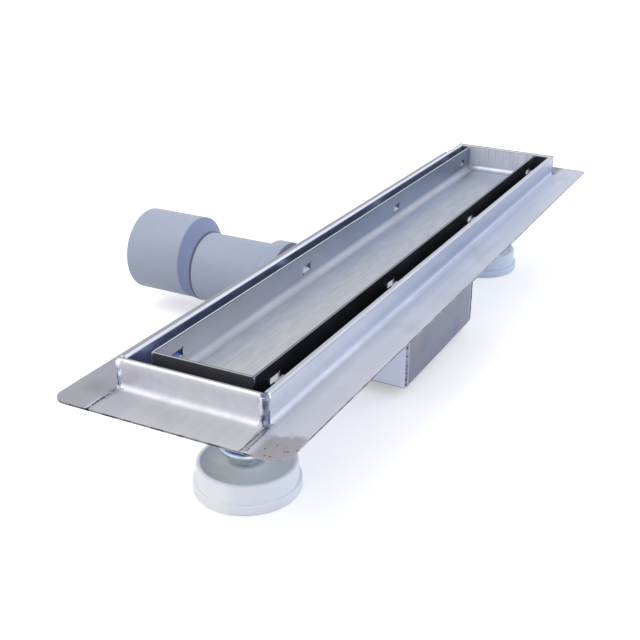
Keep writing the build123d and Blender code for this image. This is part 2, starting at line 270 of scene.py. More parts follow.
def channel_tone(steel):
    """Painted light and shade: lavender upstands lit lighter towards the front with a pale painted highlight
    at the foot, a darker left flange, and navy painted reflection inside the trough.
    """
    left = steel.on_left()
    rearwards = steel.fade(steel.x, -RIM_X, 0.12 * RIM_X)
    right_flange = steel.mix(rearwards, eye(203, 204, 214), eye(200, 206, 222))
    flange = steel.mix(left, right_flange, eye(168, 169, 179))
    upstand = steel.mix(rearwards, eye(226, 231, 243), eye(166, 174, 192))
    # Painted highlight along the upstand's foot
    foot_highlight = steel.band(steel.z, FLANGE_TOP + 0.3 * MM, FLANGE_TOP + 2 * MM,
                           FLANGE_TOP + 2.4 * MM, FLANGE_TOP + 5.5 * MM)
    upstand = steel.tint(upstand, eye(222, 228, 246), foot_highlight, 0.6)
    tone = steel.mix(steel.fade(steel.across, RIM_Y + 0.2 * MM, RIM_Y + 2.5 * MM), upstand, flange)
    # Painted highlight and shade on the hem's top: lighter inside, with a darker painted line along its outer
    # bend
    crest = steel.fade(steel.z, RIM_TOP - 1.3 * MM, RIM_TOP - 0.3 * MM)
    inner_half = steel.fade(steel.across, RIM_Y - 1.5 * MM, RIM_Y - 2.1 * MM)
    right_top = steel.mix(inner_half, eye(188, 191, 203), eye(206, 209, 220))
    left_top = steel.mix(inner_half, eye(112, 114, 128), eye(222, 227, 238))
    tone = steel.mix(crest, tone, steel.mix(left, right_top, left_top))
    outer_bend_shade = steel.band(steel.z, RIM_TOP - 2.4 * MM, RIM_TOP - 1.6 * MM,
                            RIM_TOP - 0.8 * MM, RIM_TOP - 0.3 * MM)
    tone = steel.tint(tone, eye(158, 161, 174), outer_bend_shade, 0.7)
    # Painted reflection and shade on the hem's faces into the trough
    trough = steel.mix(left, eye(116, 118, 128), eye(206, 218, 250))
    return steel.mix(inside_hem(steel, steel.across, RIM_Y), tone, trough)


def channel_steel():
    """Long channel sheet, with a worn corner, grease spots and heat tint at the seams."""
    steel, tone = rolled_sheet("channel_steel", channel_tone)
    wander = steel.noise(90, shift=(0, 5, 0))
    # Grease-stained front corner with a ragged border
    ragged = steel.fade(wander, 0.3, 0.7, -4 * MM, 4 * MM)
    from_corner = steel.math("ADD", steel.distance(GREASE_PLACE), ragged)
    patch = steel.both(steel.fade(from_corner, 26 * MM, 20 * MM),
                       steel.fade(steel.across, RIM_Y + 3 * MM, RIM_Y + 9 * MM))
    tone = steel.tint(tone, eye(152, 149, 152), patch, 0.75)
    smear = steel.around(SMEAR_PLACE, 13 * MM)
    tone = steel.tint(tone, eye(146, 143, 146), smear, 0.5)
    spots = steel.fade(steel.cells(420), 0.24, 0.15)
    spot_zone = steel.fade(steel.noise(130, detail=2, shift=(7, 0, 0)), 0.42, 0.50)
    near_corner = steel.fade(steel.around(SPECK_PLACE, 13 * MM), 0.05, 0.4)
    tone = steel.tint(tone, eye(50, 46, 46), spots, spot_zone, near_corner)
    beside = steel.math("ABSOLUTE", steel.math("SUBTRACT", steel.across, RIM_Y))
    seam = steel.both(seam_tint(steel, beside, wander, 3.6 * MM, 0.9 * MM, 0.4),
                      steel.fade(steel.along, RIM_X - 2 * MM, RIM_X))
    tone = steel.tint(tone, eye(112, 114, 130), seam, 0.6)
    steel.colour(notch(steel, tone))
    return steel.material


def end_plate_tone(steel):
    """The front plate catches more light than the rear one, most of all along its foot and crest."""
    rear = steel.fade(steel.x, -100 * MM, 100 * MM)
    up = steel.fade(steel.z, FLANGE_TOP + 3 * MM, RIM_TOP - 3 * MM)
    front_upstand = steel.mix(up, eye(226, 226, 231), eye(199, 199, 205))
    upstand = steel.mix(rear, front_upstand, eye(180, 185, 200))
    foot_highlight = steel.band(steel.z, FLANGE_TOP + 0.2 * MM, FLANGE_TOP + 1.6 * MM,
                           FLANGE_TOP + 2.2 * MM, FLANGE_TOP + 5 * MM)
    upstand = steel.mix(foot_highlight, upstand, steel.mix(rear, eye(241, 242, 248), eye(184, 191, 206)))
    front_flange = steel.mix(steel.fade(steel.y, 8 * MM, 44 * MM), eye(205, 205, 211), eye(178, 179, 189))
    flange = steel.mix(rear, front_flange, eye(145, 154, 175))
    tone = steel.mix(steel.fade(steel.along, RIM_X + 0.2 * MM, RIM_X + 2.5 * MM), upstand, flange)
    crest = steel.fade(steel.z, RIM_TOP - 1.4 * MM, RIM_TOP - 0.4 * MM)
    # Only the outer bend of the hem shines, and its top falls off towards the trough
    shine = steel.fade(steel.along, RIM_X - 1.3 * MM, RIM_X - 0.8 * MM)
    inwards = steel.fade(steel.along, RIM_X - 1.6 * MM, RIM_X - HEM)
    top = steel.mix(inwards, eye(172, 172, 178), eye(150, 151, 158))
    top = steel.mix(shine, top, steel.mix(rear, eye(252, 252, 253), eye(200, 205, 218)))
    tone = steel.mix(crest, tone, top)
    # Painted shade on the hem's face into the trough
    return steel.mix(inside_hem(steel, steel.along, RIM_X), tone, eye(120, 122, 134))


def end_plate_steel():
    """Short end sheets, folded across the channel, with heat tint at the seams."""
    steel, tone = rolled_sheet("end_plate_steel", end_plate_tone)
    wander = steel.noise(110, shift=(0, 5, 0))
    beside = steel.math("SUBTRACT", RIM_Y, steel.across)
    seam = steel.both(seam_tint(steel, beside, wander, 3.4 * MM, 0.8 * MM, 0.3),
                      steel.fade(steel.z, FLANGE_TOP + 1.5 * MM, FLANGE_TOP + 0.5 * MM))
    tone = steel.tint(tone, eye(132, 133, 146), seam, 0.5)
    steel.colour(notch(steel, tone))
    return steel.material


def tray_steel():
    """Brushed stainless of the tile tray: fine mottled floor, upright grain, a brown band by the far wall,
    and painted light and shade on the floor, walls, tabs and cut edges.
    """
    steel = Finish("tray_steel", metallic=1.0)
    along, across, left = steel.along, steel.across, steel.on_left()
    rearwards = steel.fade(steel.x, -RIM_X, 0.8 * RIM_X)
    # Painted light: the floor darkens and turns bluer rearwards
    tone = steel.mix(rearwards, eye(195, 196, 201), eye(178, 185, 199))
    mottle = steel.fade(steel.noise(150, (0.5, 1.2, 1.2), 6), 0.34, 0.66)
    tone = steel.shade(steel.fade(mottle, 0.0, 1.0, 0.96, 1.03), tone)
    brushing = steel.fade(steel.noise(520, (0.06, 1, 1), 5), 0.36, 0.64)
    tone = steel.shade(steel.fade(brushing, 0.0, 1.0, 0.94, 1.03), tone)
    wipe = steel.fade(steel.noise(14, (0.5, 1.5, 1), 4, (2, 2, 2)), 0.5, 0.7)
    tone = steel.tint(tone, eye(196, 198, 206), wipe, 0.06)
    # Painted light and shade: long walls darken rearwards and have a painted highlight along their bend
    inner_y = TRAY_Y - SHEET
    up_wall = steel.fade(steel.z, 2.6 * MM, 5.0 * MM)
    on_long_wall = steel.both(steel.fade(across, inner_y - 0.5 * MM, inner_y - 0.1 * MM), up_wall)
    wall_rearwards = steel.fade(steel.x, -RIM_X, 0.2 * RIM_X)
    tone = steel.mix(on_long_wall, tone, steel.mix(wall_rearwards, eye(180, 180, 189), eye(150, 157, 175)))
    bend_highlight = steel.both(steel.fade(across, inner_y - 5.0 * MM, inner_y - 4.0 * MM),
                           steel.fade(steel.z, 4.2 * MM, 3.2 * MM))
    tone = steel.tint(tone, eye(190, 192, 205), bend_highlight, 0.8)
    # End walls, with upright grain, and painted lighter for the light they catch
    inner_x = TRAY_X - SHEET
    on_end_wall = steel.both(steel.fade(along, inner_x - 0.5 * MM, inner_x - 0.1 * MM), up_wall)
    upright = steel.fade(steel.noise(700, (1, 1, 0.05)), 0.35, 0.65)
    tone = steel.mix(on_end_wall, tone, steel.mix(upright, eye(216, 220, 231), eye(234, 237, 244)))
    # A brown band on the floor beside the far wall's bend
    far_brown_band = steel.band(steel.x, TRAY_X - 10.0 * MM, TRAY_X - 7.2 * MM, TRAY_X - 6.2 * MM, TRAY_X - 5.2 * MM)
    tone = steel.tint(tone, eye(104, 98, 104), far_brown_band, 0.5)
    # Outside of the walls, in the shade of the slot
    outside_long = steel.fade(across, TRAY_Y - 0.5 * MM, TRAY_Y - 0.3 * MM)
    outside_end = steel.fade(along, TRAY_X - 0.5 * MM, TRAY_X - 0.3 * MM)
    below_edge = steel.fade(steel.z, TRAY_HIGH.z - 0.10 * MM, TRAY_HIGH.z - 0.35 * MM)
    tone = steel.tint(tone, eye(106, 107, 113), outside_end, below_edge)
    off_tabs = steel.fade(across, TRAY_Y + 0.6 * MM, TRAY_Y + 0.3 * MM)
    outside = steel.mix(left, eye(92, 94, 104), eye(150, 154, 172))
    tone = steel.mix(steel.both(outside_long, below_edge, off_tabs), tone, outside)
    # Tabs: painted shade and reflection, navy at the nearest left window, with its sill, and pale at the
    # others
    left_tab = steel.mix(steel.fade(steel.x, -150 * MM, -100 * MM), eye(84, 96, 136), eye(190, 198, 220))
    tab = steel.mix(left, eye(176, 178, 186), left_tab)
    tone = steel.mix(steel.fade(across, TRAY_Y + 0.8 * MM, TRAY_Y + 1.4 * MM), tone, tab)
    sill = steel.both(steel.fade(steel.y, inner_y + 0.1 * MM, inner_y + 0.3 * MM),
                      steel.band(steel.z, 5.0 * MM, 5.5 * MM, 11.2 * MM, 11.8 * MM),
                      steel.fade(steel.x, -170 * MM, -180 * MM))
    tone = steel.mix(sill, tone, eye(80, 96, 146))
    # Cut edges: painted highlight outside, painted shade inside
    edge = steel.fade(steel.z, TRAY_HIGH.z - 0.20 * MM, TRAY_HIGH.z - 0.05 * MM)
    inner_half = steel.both(steel.fade(across, TRAY_Y - 0.5 * MM, TRAY_Y - 0.8 * MM),
                            steel.fade(along, TRAY_X - 0.5 * MM, TRAY_X - 0.8 * MM))
    right_wall = steel.fade(steel.y, -TRAY_Y + 2 * MM, -TRAY_Y + 1 * MM)
    outer_edge = steel.mix(right_wall, eye(206, 203, 202), eye(140, 143, 152))
    left_wall = steel.both(steel.fade(steel.y, TRAY_Y - 2 * MM, TRAY_Y - 1 * MM),
                           steel.fade(along, TRAY_X - 1 * MM, TRAY_X - 2 * MM))
    outer_edge = steel.mix(left_wall, outer_edge, eye(226, 236, 246))
    tone = steel.mix(edge, tone, steel.mix(inner_half, outer_edge, eye(86, 88, 98)))
    steel.colour(tone)
    gloss = steel.fade(steel.noise(60, (0.5, 1, 1), 5), 0.2, 0.8, 0.34, 0.46)
    gloss = steel.math("ADD", gloss, steel.both(on_end_wall, 0.22))
    steel.rough(steel.math("ADD", gloss, steel.both(bend_highlight, 0.26)))
    steel.bump(steel.noise(1300, (0.03, 1, 1), 3), 0.03 * MM, 0.5)
    return steel.material


def box_steel():
    """Siphon box sheet, with painted light and shade, brownish wipe marks and lighter bands along its
    corners.
    """
    steel = Finish("box_steel", metallic=1.0)
    # Painted light: the sides turn lighter and bluer downwards, and the end faces are painted lighter than
    # the sides
    down = steel.fade(steel.z, -10 * MM, -60 * MM)
    side_tone = steel.mix(down, eye(111, 112, 124), eye(119, 125, 146))
    on_end = steel.fade(steel.along, BOX_HIGH.x - 0.4 * MM, BOX_HIGH.x - 0.1 * MM)
    tone = steel.mix(on_end, side_tone, eye(196, 201, 218))
    smudge = steel.fade(steel.noise(44, (0.8, 1, 0.8), 6, (0, 4, 0)), 0.50, 0.70)
    tone = steel.tint(tone, eye(128, 126, 134), smudge, 0.5)
    specks = steel.fade(steel.cells(190), 0.14, 0.08)
    sparse = steel.fade(steel.noise(70, detail=2, shift=(9, 0, 0)), 0.55, 0.62)
    tone = steel.tint(tone, eye(96, 92, 96), specks, sparse, 0.7)
    # Lighter bands beside the welded corners
    from_side = steel.math("SUBTRACT", BOX_HIGH.y, steel.across)
    from_end = steel.math("SUBTRACT", BOX_HIGH.x, steel.along)
    corner_bands = steel.fade(steel.math("MAXIMUM", from_side, from_end), 4.6 * MM, 3.6 * MM)
    tone = steel.tint(tone, eye(206, 212, 228), corner_bands, 0.35)
    # Painted shade: the bottom bend is dark
    low_edge = steel.fade(steel.z, BOX_LOW.z + 1.6 * MM, BOX_LOW.z + 0.5 * MM)
    tone = steel.tint(tone, eye(92, 90, 98), low_edge, 0.7)
    steel.colour(tone)
    steel.rough(steel.fade(steel.noise(50, detail=5), 0.2, 0.8, 0.28, 0.42))
    steel.bump(steel.noise(800, (0.06, 1, 1), 3), 0.02 * MM, 0.35)
    return steel.material


def weld_steel():
    """Weld metal: smooth, mottled blue-grey heat tint with painted shade down the middle of a run, painted
    highlights along its flanks.
    """
    weld = Finish("weld_steel", metallic=1.0)
    left = weld.on_left()
    heat = weld.fade(weld.noise(330, (1, 1, 0.5)), 0.35, 0.65)
    middle = weld.mix(heat, eye(96, 104, 128), eye(168, 176, 196))
    flank = weld.mix(heat, eye(206, 212, 226), eye(246, 248, 252))
    # How far a point lies from the corner's diagonal, waving a little
    wave = weld.fade(weld.noise(160, detail=2, shift=(3, 3, 3)), 0.2, 0.8, -0.9 * MM, 0.9 * MM)
    off = weld.math("SUBTRACT", weld.math("SUBTRACT", weld.along, RIM_X),
                    weld.math("SUBTRACT", weld.across, RIM_Y))
    off = weld.math("ABSOLUTE", weld.math("ADD", off, wave))
    # Painted highlights along the flanks, beside the painted shade down the middle
    left_flank = weld.fade(off, 0.5 * MM, 1.1 * MM)
    right_flank = weld.fade(off, 2.3 * MM, 3.1 * MM)
    on_right = weld.math("SUBTRACT", 1.0, left)
    bright = weld.math("ADD", weld.both(left, left_flank), weld.both(on_right, right_flank))
    tone = weld.mix(bright, middle, flank)
    soot = weld.fade(weld.noise(300, detail=5, shift=(2, 8, 1)), 0.64, 0.74)
    tone = weld.tint(tone, eye(58, 60, 74), soot, 0.6)
    weld.colour(tone)
    weld.rough(weld.fade(heat, 0.0, 1.0, 0.22, 0.34))
    weld.bump(weld.noise(700, detail=3), 0.05 * MM, 0.5)
    return weld.material


def scorched_steel():
    """Dark fused metal of the flange seams and the box's corners."""
    weld = Finish("scorched_steel", metallic=1.0)
    heat = weld.fade(weld.noise(600, shift=(4, 0, 4)), 0.38, 0.62)
    tone = weld.mix(heat, eye(58, 56, 66), eye(150, 152, 166))
    weld.colour(tone)
    weld.rough(weld.fade(heat, 0.0, 1.0, 0.5, 0.34))
    weld.bump(weld.noise(1500, detail=3, shift=(1, 0, 3)), 0.05 * MM, 0.6)
    return weld.material


def ground_steel():
    """Strip dressed smooth with a grinding disc, with a darker border against the sheet."""
    steel = Finish("ground_steel", metallic=1.0)
    scratches = steel.fade(steel.noise(900, (1, 0.1, 1)), 0.35, 0.65)
    tone = steel.mix(scratches, eye(160, 160, 168), eye(182, 181, 187))
    stain = steel.fade(steel.noise(140, shift=(0, 3, 3)), 0.5, 0.7)
    tone = steel.tint(tone, eye(150, 146, 150), stain, 0.35)
    inward = steel.fade(steel.along, RIM_X + 7 * MM, RIM_X + 1 * MM)
    tone = steel.tint(tone, eye(126, 128, 142), inward, 0.7)
    border = steel.fade(steel.y, -RIM_Y - 0.9 * MM, -RIM_Y - 0.4 * MM)
    tone = steel.tint(tone, eye(120, 122, 136), border, 0.8)
    steel.colour(tone)
    steel.rough(steel.fade(scratches, 0.0, 1.0, 0.44, 0.36))
    steel.bump(scratches, 0.02 * MM, 0.35)
    return steel.material


def zinc_plate():
    """Zinc-plated nuts, washers and studs: pale blue with faint rainbow."""
    zinc = Finish("zinc_plate", metallic=1.0)
    cloud = zinc.fade(zinc.noise(150, detail=5), 0.35, 0.65)
    tone = zinc.mix(cloud, eye(178, 194, 206), eye(214, 224, 230))
    green = zinc.fade(zinc.noise(90, detail=3, shift=(6, 2, 0)), 0.52, 0.70)
    tone = zinc.tint(tone, eye(196, 208, 196), green, 0.5)
    # Painted reflection: the washers' upper faces look navy inside a pale border
    _, washer_high, _ = corners("foot_washer_front")
    radius, top = washer_high.y, washer_high.z
    face = zinc.both(zinc.fade(zinc.from_foot(), radius - 0.8 * MM, radius - 1.2 * MM),
                     zinc.band(zinc.z, top - 0.2 * MM, top - 0.1 * MM, top + 0.1 * MM, top + 0.2 * MM))
    zinc.colour(zinc.tint(tone, eye(46, 62, 116), face, 0.85))
    zinc.rough(zinc.fade(zinc.noise(400), 0.2, 0.8, 0.14, 0.28))
    zinc.bump(zinc.noise(900, detail=3), 0.02 * MM, 0.4)
    return zinc.material


def white_plastic():
    """Moulded white feet, with a soft gloss, flow marks, a few specks of dirt, and painted light and shade.
    """
    plastic = Finish("white_plastic")
    flow = plastic.fade(plastic.noise(70, detail=3), 0.3, 0.7)
    tone = plastic.mix(flow, eye(247, 248, 249), eye(252, 252, 253))
    # Painted bluish light: cooler away from the outlet's side
    tone = plastic.mix(plastic.fade(plastic.y, 1 * MM, -10 * MM), tone, eye(236, 240, 247))
    tone = plastic.mix(plastic.fade(plastic.y, -14 * MM, -26 * MM), tone, eye(234, 240, 253))
    specks = plastic.fade(plastic.cells(150), 0.055, 0.035)
    sparse = plastic.fade(plastic.noise(60, detail=1, shift=(4, 4, 0)), 0.54, 0.56)
    tone = plastic.tint(tone, eye(112, 108, 110), specks, sparse, 0.8)
    # Painted shade with dusty mottling in the dish, and painted bluish light on the rear foot
    dish = plastic.both(plastic.fade(plastic.z, PAD_HIGH.z - 4.5 * MM, PAD_HIGH.z - 2.8 * MM),
                        plastic.fade(plastic.from_foot(), 26.6 * MM, 25.4 * MM))
    dust_and_shade = plastic.fade(plastic.noise(160, (1, 0.4, 1), 4, (5, 5, 1)), 0.3, 0.7, 0.82, 1.0)
    far_half = plastic.fade(plastic.y, 12 * MM, -18 * MM)
    dish_shade_tone = plastic.mix(far_half, eye(196, 194, 190), eye(220, 226, 232))
    tone = plastic.mix(plastic.both(dish, dust_and_shade), tone, dish_shade_tone)
    tone = plastic.mix(plastic.fade(plastic.x, -100 * MM, 100 * MM), tone, eye(210, 225, 247))
    plastic.colour(tone)
    plastic.rough(plastic.fade(plastic.noise(220), 0.25, 0.75, 0.30, 0.42))
    plastic.bump(plastic.noise(700, detail=3), 0.02 * MM, 0.3)
    plastic.shader.inputs["Subsurface Weight"].default_value = 0.12
    plastic.shader.inputs["Subsurface Radius"].default_value = (0.004, 0.004, 0.005)
    return plastic.material


def grey_plastic():
    """Polypropylene of the outlet: matt blue-grey with fine stipple and faint scuffs, and painted shade on
    the shoulder and in the crease.
    """
    plastic = Finish("grey_plastic")
    cloud = plastic.fade(plastic.noise(24, (1, 0.5, 1)), 0.3, 0.7)
    tone = plastic.mix(cloud, eye(145, 153, 172), eye(151, 159, 178))
    stipple = plastic.fade(plastic.noise(1200, detail=2), 0.35, 0.65)
    tone = plastic.tint(tone, eye(162, 170, 188), stipple, 0.25)
    scuff = plastic.fade(plastic.noise(90, (1.5, 0.4, 1), 5, (0, 0, 5)), 0.66, 0.74)
    tone = plastic.tint(tone, eye(186, 192, 204), scuff, 0.5)
    # Painted shade: the shoulder is bluer, and the crease against the barrel is darkened by painted shade and
    # grime
    in_shoulder = plastic.band(plastic.y, SHOULDER_Y - 7.2 * MM, SHOULDER_Y - 6.4 * MM,
                               SHOULDER_Y + 0.2 * MM, SHOULDER_Y + 2.2 * MM)
    tone = plastic.tint(tone, eye(112, 126, 162), in_shoulder, 0.85)
    from_crease = plastic.math("SUBTRACT", plastic.y, OUTLET_HIGH.y - CONE_LENGTH)
    crease = plastic.fade(plastic.math("ABSOLUTE", from_crease), 1.1 * MM, 0.4 * MM)
    tone = plastic.tint(tone, eye(58, 58, 72), crease, 0.85)
    plastic.colour(tone)
    plastic.rough(plastic.fade(plastic.noise(300), 0.2, 0.8, 0.42, 0.58))
    plastic.bump(stipple, 0.02 * MM, 0.4)
    return plastic.material


def black_plastic():
    """Trap parts in black moulded plastic."""
    plastic = Finish("black_plastic")
    cloud = plastic.fade(plastic.noise(60), 0.3, 0.7)
    plastic.colour(plastic.mix(cloud, eye(38, 39, 42), eye(50, 51, 55)))
    plastic.rough(plastic.fade(plastic.noise(250), 0.2, 0.8, 0.34, 0.52))
    plastic.bump(plastic.noise(1100, detail=2), 0.02 * MM, 0.5)
    return plastic.material


def black_rubber():
    """Seals: matt black rubber with a pale bloom."""
    rubber = Finish("black_rubber")
    bloom = rubber.fade(rubber.noise(130, detail=5), 0.45, 0.75)
    rubber.colour(rubber.mix(bloom, eye(28, 28, 29), eye(58, 58, 60)))
    rubber.rough(rubber.fade(bloom, 0.0, 1.0, 0.62, 0.82))
    rubber.bump(rubber.noise(1400, detail=3), 0.03 * MM, 0.5)
    return rubber.material


def strainer_steel():
    """Pressed strainer disc in bright stainless."""
    steel = Finish("strainer_steel", metallic=1.0)
    cloud = steel.fade(steel.noise(120), 0.3, 0.7)
    steel.colour(steel.mix(cloud, eye(186, 190, 198), eye(208, 212, 220)))
    steel.rough(steel.fade(steel.noise(700, (0.1, 1, 1)), 0.2, 0.8, 0.20, 0.34))
    steel.bump(steel.noise(1500, (0.1, 1, 1), 2), 0.02 * MM, 0.4)
    return steel.material


FINISHES = {make.__name__: make() for make in (
    channel_steel, end_plate_steel, tray_steel, box_steel, weld_steel, scorched_steel, ground_steel,
    zinc_plate, white_plastic, grey_plastic, black_plastic, black_rubber, strainer_steel)}

# Pieces that keep their own solid, by finish
NODE_FINISHES = {
    "channel_steel": ["channel_body"],
    "end_plate_steel": ["end_plate_front", "end_plate_rear"],
    "tray_steel": ["tile_tray"],
    "box_steel": ["tray_bridge_front", "tray_bridge_rear", "siphon_box", "outlet_stub"],
    "black_plastic": ["trap_insert", "trap_cup"],
    "black_rubber": ["insert_seal", "stub_seal"],
    "strainer_steel": ["hair_strainer"],
    "zinc_plate": ["leg_sleeve_front", "leg_sleeve_rear"],
}
for finish_name, node_names in NODE_FINISHES.items():
    for node_name in node_names:
        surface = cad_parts[node_name].data
        surface.materials.clear()
        surface.materials.append(FINISHES[finish_name])


def finish_piece(bm, name, body, finish, replaced=()):
    """Turn a closed bmesh into a piece that rides on a body."""
    bmesh.ops.remove_doubles(bm, verts=bm.verts, dist=0.001 * MM)
    bmesh.ops.recalc_face_normals(bm, faces=bm.faces)
    mesh = bpy.data.meshes.new(name)
    bm.to_mesh(mesh)
    bm.free()
    mesh.shade_smooth()
    mesh.set_sharp_from_angle(angle=SHARP_ANGLE)
    mesh.materials.append(FINISHES[finish])
    piece = bpy.data.objects.new(name, mesh)
    bpy.context.scene.collection.objects.link(piece)
    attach(piece, body)
    if replaced:
        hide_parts(*replaced)
    return piece


def arc(centre, radius, start, end, steps):
    """Points (r, h) on an arc, angles in degrees."""
    turns = [math.radians(start + (end - start) * i / steps) for i in range(steps + 1)]
    return [(centre[0] + radius * math.cos(t), centre[1] + radius * math.sin(t)) for t in turns]


def spin_profile(bm, profile, place, segments):
    """Turn a closed profile of (radius, height) points round an upright axis at place."""
    verts = [bm.verts.new((place[0] + r, place[1], place[2] + h)) for r, h in profile]
    edges = [bm.edges.new(pair) for pair in zip(verts, verts[1:] + verts[:1])]
    bmesh.ops.spin(bm, geom=verts + edges, cent=place, axis=(0, 0, 1), angle=FULL_TURN,
                   steps=segments, use_merge=True)
    return bm


def foot_pad(end):
    """White pad: stepped rim, rounded lip, shallow dish rising to a hub round the stud."""
    node = f"foot_pad_{end}"
    low, high, middle = corners(node)
    place = (middle.x, middle.y, low.z)
    height = high.z - low.z
    base = (high.x - low.x) / 2
    ring = base - 1.7 * MM
    step = 6 * MM
    hub = 11 * MM
    socket = 5.05 * MM
    socket_depth = 8 * MM
    lip = 2.2 * MM
    edge = 1.1 * MM
    step_edge = 0.5 * MM
    ring_inset = 0.35 * MM
    lip_edge = 0.7 * MM
    dish_depth = 2.2 * MM
    hub_edge = 0.5 * MM
    profile = [(socket, height), (socket, height - socket_depth), (0, height - socket_depth), (0, 0)]
    profile += arc((base - edge, edge), edge, -90, 0, 6)
    profile += arc((base - step_edge, step - step_edge), step_edge, 0, 90, 4)
    profile += [(ring + 0.25 * MM, step), (ring, step - 0.25 * MM), (ring, step + 0.3 * MM)]
    profile += arc((ring - ring_inset - edge, height - edge), edge, 0, 90, 6)
    profile += arc((ring - ring_inset - lip, height - lip_edge), lip_edge, 90, 135, 4)
    # The dish falls from the lip and rises again to the hub
    outer, top = profile[-1]
    bowl_steps = 14
    for i in range(1, bowl_steps):
        share = i / bowl_steps
        radius = outer + (hub - outer) * share
        sag = math.sin(math.pi * share) ** 0.8
        profile.append((radius, top - dish_depth * sag + (height - top) * share))
    profile += arc((hub - hub_edge, height - hub_edge), hub_edge, 45, 90, 3)
    bm = spin_profile(bmesh.new(), profile, place, 128)
    finish_piece(bm, f"pad_{end}", f"{end}_leg", "white_plastic", [node])


def hexagon_reach(angle, flats, corner):
    """Distance from the axis to a hexagon whose corners are rounded."""
    sector = math.pi / 3
    off = abs((angle + sector / 2) % sector - sector / 2)
    reach = flats / 2 / math.cos(off)
    return min(reach, flats / math.sqrt(3) - corner)


def hex_nut(node, name, body, turn):
    """Zinc nut with rounded corners, chamfered faces and a countersunk bore."""
    low, high, middle = corners(node)
    place = Vector((middle.x, middle.y, low.z))
    height = high.z - low.z
    flats = high.y - low.y
    bore = 4.7 * MM
    sink = 0.7 * MM
    face = flats / 2 * 0.97
    tip = flats / math.sqrt(3)
    chamfer = 0.5 * MM
    corner = 0.35 * MM
    profile = [(bore, sink), (bore + sink, 0), (face, 0), (tip, chamfer), (tip, height - chamfer),
               (face, height), (bore + sink, height), (bore, height - sink)]
    bm = spin_profile(bmesh.new(), profile, place, 144)
    for vert in bm.verts:
        away = vert.co - place
        radius = math.hypot(away.x, away.y)
        if radius < tip - 0.1 * MM:
            continue
        angle = math.atan2(away.y, away.x)
        reach = hexagon_reach(angle, flats, corner)
        drop = max(reach - face, 0) * math.tan(math.radians(30)) + 0.12 * MM
        vert.co.x = place.x + reach * math.cos(angle)
        vert.co.y = place.y + reach * math.sin(angle)
        vert.co.z = place.z + (drop if away.z < height / 2 else height - drop)
    swing = Matrix.Rotation(turn, 4, "Z")
    bmesh.ops.rotate(bm, verts=bm.verts, cent=place, matrix=swing)
    finish_piece(bm, name, body, "zinc_plate", [node])


def washer(node, name, body):
    """Flat washer with a punched, slightly rolled rim."""
    low, high, middle = corners(node)
    thick = high.z - low.z
    radius = (high.x - low.x) / 2
    bore = 5.2 * MM
    edge = 0.45 * MM
    profile = [(bore, edge), (bore + edge, 0)]
    profile += arc((radius - edge, edge), edge, -90, 0, 4)
    profile += arc((radius - edge, thick - edge), edge, 0, 90, 4)
    profile += [(bore + edge, thick), (bore, thick - edge)]
    bm = spin_profile(bmesh.new(), profile, (middle.x, middle.y, low.z), 96)
    finish_piece(bm, name, body, "zinc_plate", [node])


def stud(end):
    """Threaded rod: a core with one helical ridge wound round it."""
    node = f"foot_stud_{end}"
    low, high, middle = corners(node)
    crest = (high.x - low.x) / 2
    root = crest - 0.85 * MM
    pitch = 1.5 * MM
    length = high.z - low.z
    tip = 0.8 * MM
    place = (middle.x, middle.y, low.z)
    profile = [(0, 0), (root, 0), (root, length - tip), (root - tip, length), (0, length)]
    bm = spin_profile(bmesh.new(), profile, place, 48)
    # One tooth of the thread, wound up the core
    turns = int((length - 2 * tip) / pitch) - 1
    steps = 36
    start = low.z + tip
    tooth = [(root - 0.1 * MM, 0), (crest, pitch * 0.44), (crest, pitch * 0.56), (root - 0.1 * MM, pitch)]
    verts = [bm.verts.new((middle.x + r, middle.y, start + h)) for r, h in tooth]
    edges = [bm.edges.new(pair) for pair in zip(verts, verts[1:] + verts[:1])]
    wound = bmesh.ops.spin(bm, geom=verts + edges, cent=place, axis=(0, 0, 1), angle=FULL_TURN * turns,
                           dvec=(0, 0, pitch / steps), steps=steps * turns)
    last = [item for item in wound["geom_last"] if isinstance(item, bmesh.types.BMEdge)]
    bmesh.ops.contextual_create(bm, geom=edges)
    bmesh.ops.contextual_create(bm, geom=last)
    finish_piece(bm, f"threaded_stud_{end}", f"{end}_leg", "zinc_plate", [node])


